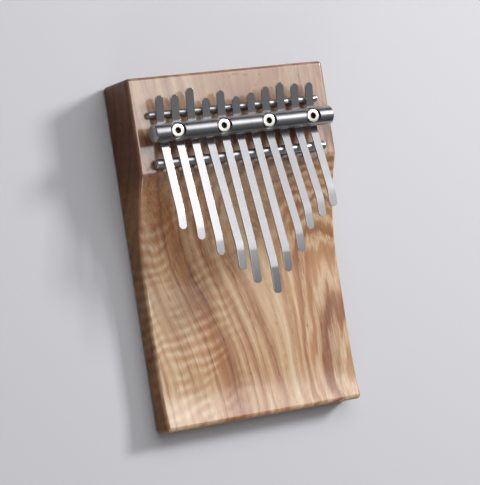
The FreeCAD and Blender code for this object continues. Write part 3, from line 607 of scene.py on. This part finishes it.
# %% The strip tree
def strip_tree():
    tree = bpy.data.node_groups.new("bent_strip", "GeometryNodeTree")
    tree.is_modifier = True
    for name, kind in (("Path", "NodeSocketGeometry"), ("Width", "NodeSocketFloat"),
                       ("Thickness", "NodeSocketFloat"), ("Corner", "NodeSocketFloat"),
                       ("Rows", "NodeSocketInt"), ("End rows", "NodeSocketInt"),
                       ("Steel", "NodeSocketMaterial")):
        tree.interface.new_socket(name, in_out="INPUT", socket_type=kind)
    tree.interface.new_socket("Strip", in_out="OUTPUT", socket_type="NodeSocketGeometry")
    given = tree.nodes.new("NodeGroupInput").outputs
    path = add_node(tree, "GeometryNodeMeshToCurve", {0: given["Path"]}).outputs[0]
    length = add_node(tree, "GeometryNodeCurveLength", {0: path}).outputs[0]
    half = add_node(tree, "ShaderNodeMath", {0: given["Width"], 1: 0.5}, operation="MULTIPLY")
    rounding = add_node(tree, "ShaderNodeMath", {0: half.outputs[0], 1: given["Corner"]},
                        operation="SUBTRACT").outputs[0]
    points = add_node(tree, "ShaderNodeMath", {0: given["Rows"], 1: 1.0}, operation="ADD")
    rows = add_node(tree, "GeometryNodeResampleCurve", {"Curve": path,
                                                        "Count": points.outputs[0]})
    row = add_node(tree, "GeometryNodeInputIndex").outputs[0]

    # How far each row is through the first end, the middle and the last end, from 0 to 1.
    into = add_node(tree, "ShaderNodeMath", {0: row, 1: given["End rows"]},
                    operation="DIVIDE", use_clamp=True).outputs[0]
    left = add_node(tree, "ShaderNodeMath", {0: given["Rows"], 1: row}, operation="SUBTRACT")
    out = add_node(tree, "ShaderNodeMath", {0: left.outputs[0], 1: given["End rows"]},
                   operation="DIVIDE", use_clamp=True).outputs[0]
    last = add_node(tree, "ShaderNodeMath", {0: given["Rows"], 1: given["End rows"]},
                    operation="SUBTRACT")
    body = add_node(tree, "ShaderNodeMapRange", {0: row, 1: given["End rows"],
                                                 2: last.outputs[0], 3: 0.0, 4: 1.0})

    # Rows inside an end are spaced like the points of a half circle.
    quarter = math.pi / 2
    angle_in = add_node(tree, "ShaderNodeMath", {0: into, 1: quarter}, operation="MULTIPLY")
    angle_out = add_node(tree, "ShaderNodeMath", {0: out, 1: quarter}, operation="MULTIPLY")
    cos_in = add_node(tree, "ShaderNodeMath", {0: angle_in.outputs[0]}, operation="COSINE")
    cos_out = add_node(tree, "ShaderNodeMath", {0: angle_out.outputs[0]}, operation="COSINE")
    near = add_node(tree, "ShaderNodeMath", {0: cos_in.outputs[0], 1: -1.0, 2: 1.0},
                    operation="MULTIPLY_ADD")
    ends = add_node(tree, "ShaderNodeMath", {0: near.outputs[0], 1: cos_out.outputs[0]},
                    operation="ADD")
    ends = add_node(tree, "ShaderNodeMath", {0: ends.outputs[0], 1: rounding},
                    operation="MULTIPLY")
    straight = add_node(tree, "ShaderNodeMath", {0: rounding, 1: -2.0, 2: length},
                        operation="MULTIPLY_ADD")
    reach = add_node(tree, "ShaderNodeMath", {0: body.outputs[0], 1: straight.outputs[0],
                                              2: ends.outputs[0]}, operation="MULTIPLY_ADD")
    spot = add_node(tree, "GeometryNodeSampleCurve", {"Curves": path,
                                                      "Length": reach.outputs[0]},
                    mode="LENGTH")
    placed = add_node(tree, "GeometryNodeSetPosition", {"Geometry": rows.outputs[0],
                                                        "Position": spot.outputs["Position"]})
    upright = add_node(tree, "GeometryNodeSetCurveNormal", {"Curve": placed.outputs[0]},
                       mode="Z_UP")

    # The narrowing at each row: nothing in the middle, nearly half the width at the ends.
    nearer = add_node(tree, "ShaderNodeMath", {0: angle_in.outputs[0],
                                               1: angle_out.outputs[0]}, operation="MINIMUM")
    fullness = add_node(tree, "ShaderNodeMath", {0: nearer.outputs[0]}, operation="SINE")
    lack = add_node(tree, "ShaderNodeMath", {0: fullness.outputs[0], 1: 1.0},
                    operation="SUBTRACT")
    narrow = add_node(tree, "ShaderNodeMath", {0: lack.outputs[0], 1: rounding},
                      operation="MULTIPLY")
    keep = add_node(tree, "GeometryNodeCaptureAttribute", {0: upright.outputs[0]})
    keep.capture_items.new("FLOAT", "Narrow")
    keep.capture_items.new("VECTOR", "Middle")
    tree.links.new(narrow.outputs[0], keep.inputs["Narrow"])
    tree.links.new(add_node(tree, "GeometryNodeInputPosition").outputs[0],
                   keep.inputs["Middle"])

    section = add_node(tree, "GeometryNodeCurvePrimitiveQuadrilateral",
                       {"Width": given["Width"], "Height": given["Thickness"]})
    eased = add_node(tree, "GeometryNodeFilletCurve", {"Curve": section.outputs[0],
                                                       "Radius": given["Corner"], "Count": 3},
                     mode="POLY")
    swept = add_node(tree, "GeometryNodeCurveToMesh", {"Curve": keep.outputs[0],
                                                       "Profile Curve": eased.outputs[0],
                                                       "Fill Caps": True})
    here = add_node(tree, "GeometryNodeInputPosition").outputs[0]
    off = add_node(tree, "ShaderNodeVectorMath", {0: here, 1: keep.outputs["Middle"]},
                   operation="SUBTRACT")
    off_x = add_node(tree, "ShaderNodeSeparateXYZ", {0: off.outputs[0]})
    side = add_node(tree, "ShaderNodeMath", {0: off_x.outputs[0]}, operation="SIGN")
    move = add_node(tree, "ShaderNodeMath", {0: side.outputs[0], 1: keep.outputs["Narrow"]},
                    operation="MULTIPLY")
    shift = add_node(tree, "ShaderNodeCombineXYZ", {0: move.outputs[0]})
    shaped = add_node(tree, "GeometryNodeSetPosition", {"Geometry": swept.outputs[0],
                                                        "Offset": shift.outputs[0]})
    real = add_node(tree, "GeometryNodeRealizeInstances", {0: shaped.outputs[0]})
    steel = add_node(tree, "GeometryNodeSetMaterial", {0: real.outputs[0],
                                                       "Material": given["Steel"]})
    done = tree.nodes.new("NodeGroupOutput")
    tree.links.new(steel.outputs[0], done.inputs["Strip"])
    return tree


BENT_STRIP = strip_tree()
print("bent_strip has", len(BENT_STRIP.nodes), "nodes")

# %% [markdown]
# A modifier keeps its inputs under the tree's socket identifiers, so a helper looks these up
# by name. It then evaluates the object and keeps the result as a plain mesh, which is what the
# frame needs.

# %% From a tree to a plain piece
def line_object(name, points):
    """An object whose mesh is one open line through the points, in metres."""
    mesh = bpy.data.meshes.new(name)
    mesh.from_pydata(points, [(k, k + 1) for k in range(len(points) - 1)], [])
    holder = bpy.data.objects.new(name, mesh)
    bpy.context.scene.collection.objects.link(holder)
    return holder


def grow(holder, tree, settings, degrees):
    """Run a tree on an object with named inputs, then keep the result as its own mesh."""
    modifier = holder.modifiers.new(tree.name, "NODES")
    modifier.node_group = tree
    for item in tree.interface.items_tree:
        if item.item_type == "SOCKET" and item.name in settings:
            modifier[item.identifier] = settings[item.name]
    bpy.context.view_layer.update()
    graph = bpy.context.evaluated_depsgraph_get()
    mesh = bpy.data.meshes.new_from_object(holder.evaluated_get(graph))
    holder.modifiers.clear()
    holder.data = mesh
    sheet = bmesh.new()
    sheet.from_mesh(mesh)
    bmesh.ops.remove_doubles(sheet, verts=sheet.verts, dist=1e-7)
    bmesh.ops.recalc_face_normals(sheet, faces=sheet.faces)
    sheet.to_mesh(mesh)
    sheet.free()
    mesh.shade_smooth()
    mesh.set_sharp_from_angle(angle=math.radians(degrees))
    return holder


# %% [markdown]
# All eleven tines are cut from the same strip, and only their lengths and bends differ. They
# could be modelled one by one, but one loop over one rule keeps them alike and takes each length
# from the frame. A tine is clamped at its tail and free at its tip.

# %% The eleven tines
EDGE_ROUND = 0.16  # mm, along the strip's edges
ROWS, END_ROWS = 180, 12  # rows along a tine, and those in each of its round ends
for k in range(1, TINES + 1):
    shank, tongue = f"tine_{k:02d}_shank", f"tine_{k:02d}_tongue"
    low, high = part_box(shank)
    centre_x = (low[0] + high[0]) / 2
    width = high[0] - low[0]
    points = [(centre_x, y * MM, z * MM) for y, z in tine_path(k)]
    tine = line_object(f"tine_{k:02d}_strip", points)
    grow(tine, BENT_STRIP, {"Width": width, "Thickness": THICKNESS * MM,
                            "Corner": EDGE_ROUND * MM, "Rows": ROWS, "End rows": END_ROWS,
                            "Steel": ground_spring}, 12)
    tine.data.materials.clear()
    tine.data.materials.append(ground_spring)
    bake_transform(tine)
    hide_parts(shank, tongue)
    made = [Vector(c).y / MM for c in tine.bound_box]
    print(tine.name, "has", len(tine.data.polygons), "faces, from y", round(min(made), 2),
          "to", round(max(made), 2), "mm")

# %% [markdown]
# Bar, rods and screws are all turned parts: an outline spun about an axis. One tree does this
# for any outline drawn as a line of (radius, height) points. It strings the outline's points
# up a short axis, sweeps a small circle along it, and then sends every ring to the radius and
# height that its point really had. Ends that reach radius zero close when doubles merge.

# %% The turning tree
def turning_tree():
    tree = bpy.data.node_groups.new("turned_stock", "GeometryNodeTree")
    tree.is_modifier = True
    for name, kind in (("Outline", "NodeSocketGeometry"), ("Facets", "NodeSocketInt"),
                       ("Turn", "NodeSocketVector"), ("Place", "NodeSocketVector"),
                       ("Metal", "NodeSocketMaterial")):
        tree.interface.new_socket(name, in_out="INPUT", socket_type=kind)
    tree.interface.new_socket("Stock", in_out="OUTPUT", socket_type="NodeSocketGeometry")
    given = tree.nodes.new("NodeGroupInput").outputs
    outline = add_node(tree, "GeometryNodeMeshToCurve", {0: given["Outline"]})
    keep = add_node(tree, "GeometryNodeCaptureAttribute", {0: outline.outputs[0]})
    keep.capture_items.new("VECTOR", "Drawn")
    tree.links.new(add_node(tree, "GeometryNodeInputPosition").outputs[0],
                   keep.inputs["Drawn"])
    order = add_node(tree, "GeometryNodeInputIndex").outputs[0]
    rank = add_node(tree, "ShaderNodeMath", {0: order, 1: MM}, operation="MULTIPLY")
    axis = add_node(tree, "ShaderNodeCombineXYZ", {2: rank.outputs[0]})
    strung = add_node(tree, "GeometryNodeSetPosition", {"Geometry": keep.outputs[0],
                                                        "Position": axis.outputs[0]})
    ring = add_node(tree, "GeometryNodeCurvePrimitiveCircle", {"Resolution": given["Facets"],
                                                               "Radius": MM})
    swept = add_node(tree, "GeometryNodeCurveToMesh", {"Curve": strung.outputs[0],
                                                       "Profile Curve": ring.outputs[0]})
    here = add_node(tree, "GeometryNodeInputPosition").outputs[0]
    flat = add_node(tree, "ShaderNodeVectorMath", {0: here, 1: (1, 1, 0)}, operation="MULTIPLY")
    spoke = add_node(tree, "ShaderNodeVectorMath", {0: flat.outputs[0]}, operation="NORMALIZE")
    drawn = add_node(tree, "ShaderNodeSeparateXYZ", {0: keep.outputs["Drawn"]})
    wide = add_node(tree, "ShaderNodeVectorMath", {0: spoke.outputs[0], 3: drawn.outputs[0]},
                    operation="SCALE")
    high = add_node(tree, "ShaderNodeCombineXYZ", {2: drawn.outputs[2]})
    goal = add_node(tree, "ShaderNodeVectorMath", {0: wide.outputs[0], 1: high.outputs[0]},
                    operation="ADD")
    spun = add_node(tree, "GeometryNodeSetPosition", {"Geometry": swept.outputs[0],
                                                      "Position": goal.outputs[0]})
    closed = add_node(tree, "GeometryNodeMergeByDistance", {"Geometry": spun.outputs[0],
                                                            "Distance": 1e-6})
    placed = add_node(tree, "GeometryNodeTransform", {"Geometry": closed.outputs[0],
                                                      "Rotation": given["Turn"],
                                                      "Translation": given["Place"]})
    real = add_node(tree, "GeometryNodeRealizeInstances", {0: placed.outputs[0]})
    metal = add_node(tree, "GeometryNodeSetMaterial", {0: real.outputs[0],
                                                       "Material": given["Metal"]})
    done = tree.nodes.new("NodeGroupOutput")
    tree.links.new(metal.outputs[0], done.inputs["Stock"])
    return tree


def eased_outline(points, steps=5):
    """(radius, height, easing) corners in mm, as outline points with each eased corner an arc."""
    flat = [Vector(p[:2]) for p in points]
    made = []
    for k, (corner, point) in enumerate(zip(flat, points)):
        if len(point) < 3:
            made.append(corner)
            continue
        before = (flat[k - 1] - corner).normalized() * point[2]
        after = (flat[k + 1] - corner).normalized() * point[2]
        for j in range(steps + 1):
            swing = math.pi / 2 * j / steps
            made.append(corner + before * (1 - math.sin(swing)) + after * (1 - math.cos(swing)))
    return [(p.x * MM, 0.0, p.y * MM) for p in made]


TURNED = turning_tree()
print("turned_stock has", len(TURNED.nodes), "nodes")

# %% [markdown]
# The bridge rods are plain drawn steel with eased ends. A cylinder with a Bevel modifier would
# do, but the turning tree is there already, and an outline says the length, the radius and the
# easing in one line. Each rod takes its place and its size from the frame.

# %% The two rods
ROD_EASE = 0.8  # mm, rounding of the ends
for node in ("rear_rod", "front_rod"):
    centre, radius = middle(node)
    low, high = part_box(node)
    length = (high[0] - low[0]) / MM
    outline = eased_outline([(0, 0), (radius, 0, ROD_EASE), (radius, length, ROD_EASE),
                             (0, length)])
    rod = line_object(node + "_drawn", outline)
    grow(rod, TURNED, {"Facets": 64, "Turn": (0, math.pi / 2, 0),
                       "Place": (low[0], centre.y * MM, centre.z * MM),
                       "Metal": drawn_rod}, 30)
    finish_piece(rod, drawn_rod, "bridge_steel", "board", node)

# %% [markdown]
# The bar starts as turned stock too. Two booleans take four seats away from it in a row: first
# a wide pocket for each screw head, then a narrower hole for its shank. The stock has many
# facets, so that its highlight stays straight past the pockets' edges.

# %% The clamp bar
def bar_tree():
    tree = bpy.data.node_groups.new("pocketed_bar", "GeometryNodeTree")
    tree.is_modifier = True
    for name, kind in (("Outline", "NodeSocketGeometry"), ("Facets", "NodeSocketInt"),
                       ("Turn", "NodeSocketVector"), ("Place", "NodeSocketVector"),
                       ("Metal", "NodeSocketMaterial"), ("First seat", "NodeSocketVector"),
                       ("Pitch", "NodeSocketVector"), ("Seats", "NodeSocketInt"),
                       ("Pocket radius", "NodeSocketFloat"),
                       ("Hole radius", "NodeSocketFloat")):
        tree.interface.new_socket(name, in_out="INPUT", socket_type=kind)
    tree.interface.new_socket("Bar", in_out="OUTPUT", socket_type="NodeSocketGeometry")
    given = tree.nodes.new("NodeGroupInput").outputs
    stock = add_node(tree, "GeometryNodeGroup", node_tree=TURNED)
    for name in ("Outline", "Facets", "Turn", "Place", "Metal"):
        tree.links.new(given[name], stock.inputs[name])
    deep = 20 * MM
    pocket = add_node(tree, "GeometryNodeMeshCylinder", {"Vertices": 96, "Depth": deep,
                                                         "Radius": given["Pocket radius"]})
    raised = add_node(tree, "GeometryNodeTransform", {"Geometry": pocket.outputs[0],
                                                      "Translation": (0, 0, deep / 2)})
    hole = add_node(tree, "GeometryNodeMeshCylinder", {"Vertices": 64, "Depth": deep * 2,
                                                       "Radius": given["Hole radius"]})
    seats = add_node(tree, "GeometryNodeMeshLine", {"Count": given["Seats"],
                                                    "Start Location": given["First seat"],
                                                    "Offset": given["Pitch"]})
    row = seats.outputs[0]
    wide = add_node(tree, "GeometryNodeInstanceOnPoints", {"Points": row,
                                                           "Instance": raised.outputs[0]})
    slim = add_node(tree, "GeometryNodeInstanceOnPoints", {"Points": row,
                                                           "Instance": hole.outputs[0]})
    wide = add_node(tree, "GeometryNodeRealizeInstances", {0: wide.outputs[0]})
    slim = add_node(tree, "GeometryNodeRealizeInstances", {0: slim.outputs[0]})
    milled = add_node(tree, "GeometryNodeMeshBoolean", {"Mesh 1": stock.outputs[0],
                                                        "Mesh 2": wide.outputs[0]},
                      operation="DIFFERENCE", solver="EXACT")
    drilled = add_node(tree, "GeometryNodeMeshBoolean", {"Mesh 1": milled.outputs[0],
                                                         "Mesh 2": slim.outputs[0]},
                       operation="DIFFERENCE", solver="EXACT")
    real = add_node(tree, "GeometryNodeRealizeInstances", {0: drilled.outputs[0]})
    metal = add_node(tree, "GeometryNodeSetMaterial", {0: real.outputs[0],
                                                       "Material": given["Metal"]})
    done = tree.nodes.new("NodeGroupOutput")
    tree.links.new(metal.outputs[0], done.inputs["Bar"])
    return tree


SCREWS = 4
HEAD_HEIGHT = 4.0  # mm, of a screw's cap
POCKET_RADIUS, HOLE_RADIUS = 4.3, 2.2  # mm, round the cap and round the shank
BAR_EASE = 1.2  # mm, rounding of the bar's ends
screw_places = []
for k in range(1, SCREWS + 1):
    low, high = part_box(f"clamp_screw_{k}")
    screw_places.append((Vector(low) + Vector(high)) / 2 / MM)
seat_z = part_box("clamp_screw_1")[1][2] / MM - HEAD_HEIGHT
pitch = (screw_places[-1].x - screw_places[0].x) / (SCREWS - 1)
centre, radius = middle("pressure_bar")
low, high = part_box("pressure_bar")
length = (high[0] - low[0]) / MM
outline = eased_outline([(0, 0), (radius, 0, BAR_EASE), (radius, length, BAR_EASE),
                         (0, length)], 8)
bar = line_object("clamp_bar", outline)
grow(bar, bar_tree(), {"Facets": 192, "Turn": (0, math.pi / 2, 0),
                       "Place": (low[0], centre.y * MM, centre.z * MM), "Metal": turned_bar,
                       "First seat": (screw_places[0].x * MM, centre.y * MM, seat_z * MM),
                       "Pitch": (pitch * MM, 0, 0), "Seats": SCREWS,
                       "Pocket radius": POCKET_RADIUS * MM,
                       "Hole radius": HOLE_RADIUS * MM}, 30)
finish_piece(bar, turned_bar, "bar_steel", "board", "pressure_bar")

# %% [markdown]
# A socket cap screw is turned stock with a hexagon sunk in its head. The shank carries rings at
# the real thread pitch, inside the imported diameter, and its tip is narrower, as a die needs to
# start. Each screw stopped at its own angle when it was tightened, so a random turn
# with a fixed seed sets the hexagons differently. The faces inside the socket take a darker
# finish, which paints the shade of the deep recess.

# %% The socket screws
MOUTH_DEPTH, MOUTH_DROP = 0.4 * MM, 0.25 * MM  # the cone that eases the socket's mouth
MOUTH_FOOT, MOUTH_FLARE = 1.35 * MM, 1.05  # its lower radius, and its top over the hexagon


def screw_tree():
    tree = bpy.data.node_groups.new("socket_screw", "GeometryNodeTree")
    tree.is_modifier = True
    for name, kind in (("Outline", "NodeSocketGeometry"), ("Facets", "NodeSocketInt"),
                       ("Metal", "NodeSocketMaterial"), ("Seat", "NodeSocketVector"),
                       ("Head height", "NodeSocketFloat"), ("Flats", "NodeSocketFloat"),
                       ("Socket depth", "NodeSocketFloat"), ("Seed", "NodeSocketInt")):
        tree.interface.new_socket(name, in_out="INPUT", socket_type=kind)
    tree.interface.new_socket("Screw", in_out="OUTPUT", socket_type="NodeSocketGeometry")
    given = tree.nodes.new("NodeGroupInput").outputs
    stock = add_node(tree, "GeometryNodeGroup", node_tree=TURNED)
    for name in ("Outline", "Facets", "Metal"):
        tree.links.new(given[name], stock.inputs[name])
    corner = add_node(tree, "ShaderNodeMath", {0: given["Flats"], 1: 1 / math.sqrt(3)},
                      operation="MULTIPLY")
    deep = add_node(tree, "ShaderNodeMath", {0: given["Socket depth"], 1: 2.0},
                    operation="MULTIPLY")
    key = add_node(tree, "GeometryNodeMeshCylinder", {"Vertices": 6, "Depth": deep.outputs[0],
                                                      "Radius": corner.outputs[0]})
    top = add_node(tree, "ShaderNodeCombineXYZ", {2: given["Head height"]})
    sunk = add_node(tree, "GeometryNodeTransform", {"Geometry": key.outputs[0],
                                                    "Translation": top.outputs[0]})
    mouth_size = add_node(tree, "ShaderNodeMath", {0: corner.outputs[0], 1: MOUTH_FLARE},
                          operation="MULTIPLY")
    mouth = add_node(tree, "GeometryNodeMeshCone", {"Vertices": 48, "Depth": MOUTH_DEPTH,
                                                    "Radius Top": mouth_size.outputs[0],
                                                    "Radius Bottom": MOUTH_FOOT})
    mouth_at = add_node(tree, "ShaderNodeVectorMath", {0: top.outputs[0],
                                                       1: (0, 0, -MOUTH_DROP)}, operation="ADD")
    flared = add_node(tree, "GeometryNodeTransform", {"Geometry": mouth.outputs[0],
                                                      "Translation": mouth_at.outputs[0]})
    cut = add_node(tree, "GeometryNodeMeshBoolean", {"Mesh 1": stock.outputs[0],
                                                     "Mesh 2": sunk.outputs[0]},
                   operation="DIFFERENCE", solver="EXACT")
    bevelled = add_node(tree, "GeometryNodeMeshBoolean", {"Mesh 1": cut.outputs[0],
                                                          "Mesh 2": flared.outputs[0]},
                        operation="DIFFERENCE", solver="EXACT")
    angle = add_node(tree, "FunctionNodeRandomValue", {2: 0.0, 3: math.pi / 3,
                                                       "Seed": given["Seed"]},
                     data_type="FLOAT")
    turn = add_node(tree, "ShaderNodeCombineXYZ", {2: angle.outputs[1]})
    seat = add_node(tree, "GeometryNodePoints", {"Count": 1, "Position": given["Seat"]})
    driven = add_node(tree, "GeometryNodeInstanceOnPoints", {"Points": seat.outputs[0],
                                                             "Instance": bevelled.outputs[0],
                                                             "Rotation": turn.outputs[0]})
    real = add_node(tree, "GeometryNodeRealizeInstances", {0: driven.outputs[0]})
    metal = add_node(tree, "GeometryNodeSetMaterial", {0: real.outputs[0],
                                                       "Material": given["Metal"]})
    done = tree.nodes.new("NodeGroupOutput")
    tree.links.new(metal.outputs[0], done.inputs["Screw"])
    return tree


SOCKET_SCREW = screw_tree()
SHANK, ROOT, HEAD = 2.0, 1.72, 3.5  # mm, radius of the crests, the grooves and the cap
LENGTH, THREAD_PITCH = 18.0, 0.7  # mm, under the cap, and from ring to ring
TIP_BEVEL, TIP_STEP = 0.2, 0.3  # mm, how much narrower the tip is, and how long
PLAIN, NECK = 3.0, 1.8  # mm left without rings under the cap, and of full width
CAP_EASE = 0.4  # mm, rounding of the cap's rim
corners = [(0, -LENGTH), (ROOT - TIP_BEVEL, -LENGTH)]
rings = int((LENGTH - PLAIN) / THREAD_PITCH)
for ring in range(rings):
    at = -LENGTH + TIP_STEP + ring * THREAD_PITCH
    corners += [(ROOT, at), (SHANK, at + THREAD_PITCH * 0.5)]
corners += [(ROOT, -LENGTH + TIP_STEP + rings * THREAD_PITCH), (SHANK, -NECK), (SHANK, 0)]
corners += [(HEAD, 0), (HEAD, HEAD_HEIGHT, CAP_EASE), (0, HEAD_HEIGHT)]
screw_outline = eased_outline(corners)
KEY_FLATS, KEY_DEPTH = 3.0, 2.2  # mm, the hexagon across its flats, and its depth
INSIDE_RADIUS, INSIDE_FROM, RIM = 1.8, 1.5, 0.1  # mm, the room that holds the socket's faces
for k in range(1, SCREWS + 1):
    place = screw_places[k - 1]
    screw = line_object(f"socket_screw_{k}", screw_outline)
    grow(screw, SOCKET_SCREW, {"Facets": 64, "Metal": zinc_plate,
                               "Seat": (place.x * MM, place.y * MM, seat_z * MM),
                               "Head height": HEAD_HEIGHT * MM, "Flats": KEY_FLATS * MM,
                               "Socket depth": KEY_DEPTH * MM, "Seed": k}, 30)
    finish_piece(screw, zinc_plate, "screw_steel", "board", f"clamp_screw_{k}")
    # The inner faces of the socket take the nearly black steel, as painted shade in the deep
    # recess.
    screw.data.materials.append(socket_shade)
    for face in screw.data.polygons:
        spot = face.center / MM - Vector((place.x, place.y, seat_z))
        inside = math.hypot(spot.x, spot.y) < INSIDE_RADIUS
        if inside and INSIDE_FROM < spot.z < HEAD_HEIGHT - RIM:
            face.material_index = 1

# %% [markdown]
# The threaded inserts sit in the board under the bar, where nothing shows but a thin ring. Their
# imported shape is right, so they only take their metal.

# %% Inserts
for k in range(1, SCREWS + 1):
    for holder in bpy.data.objects[f"thread_insert_{k}"].material_slots:
        holder.material = brass
print("inserts are brass")
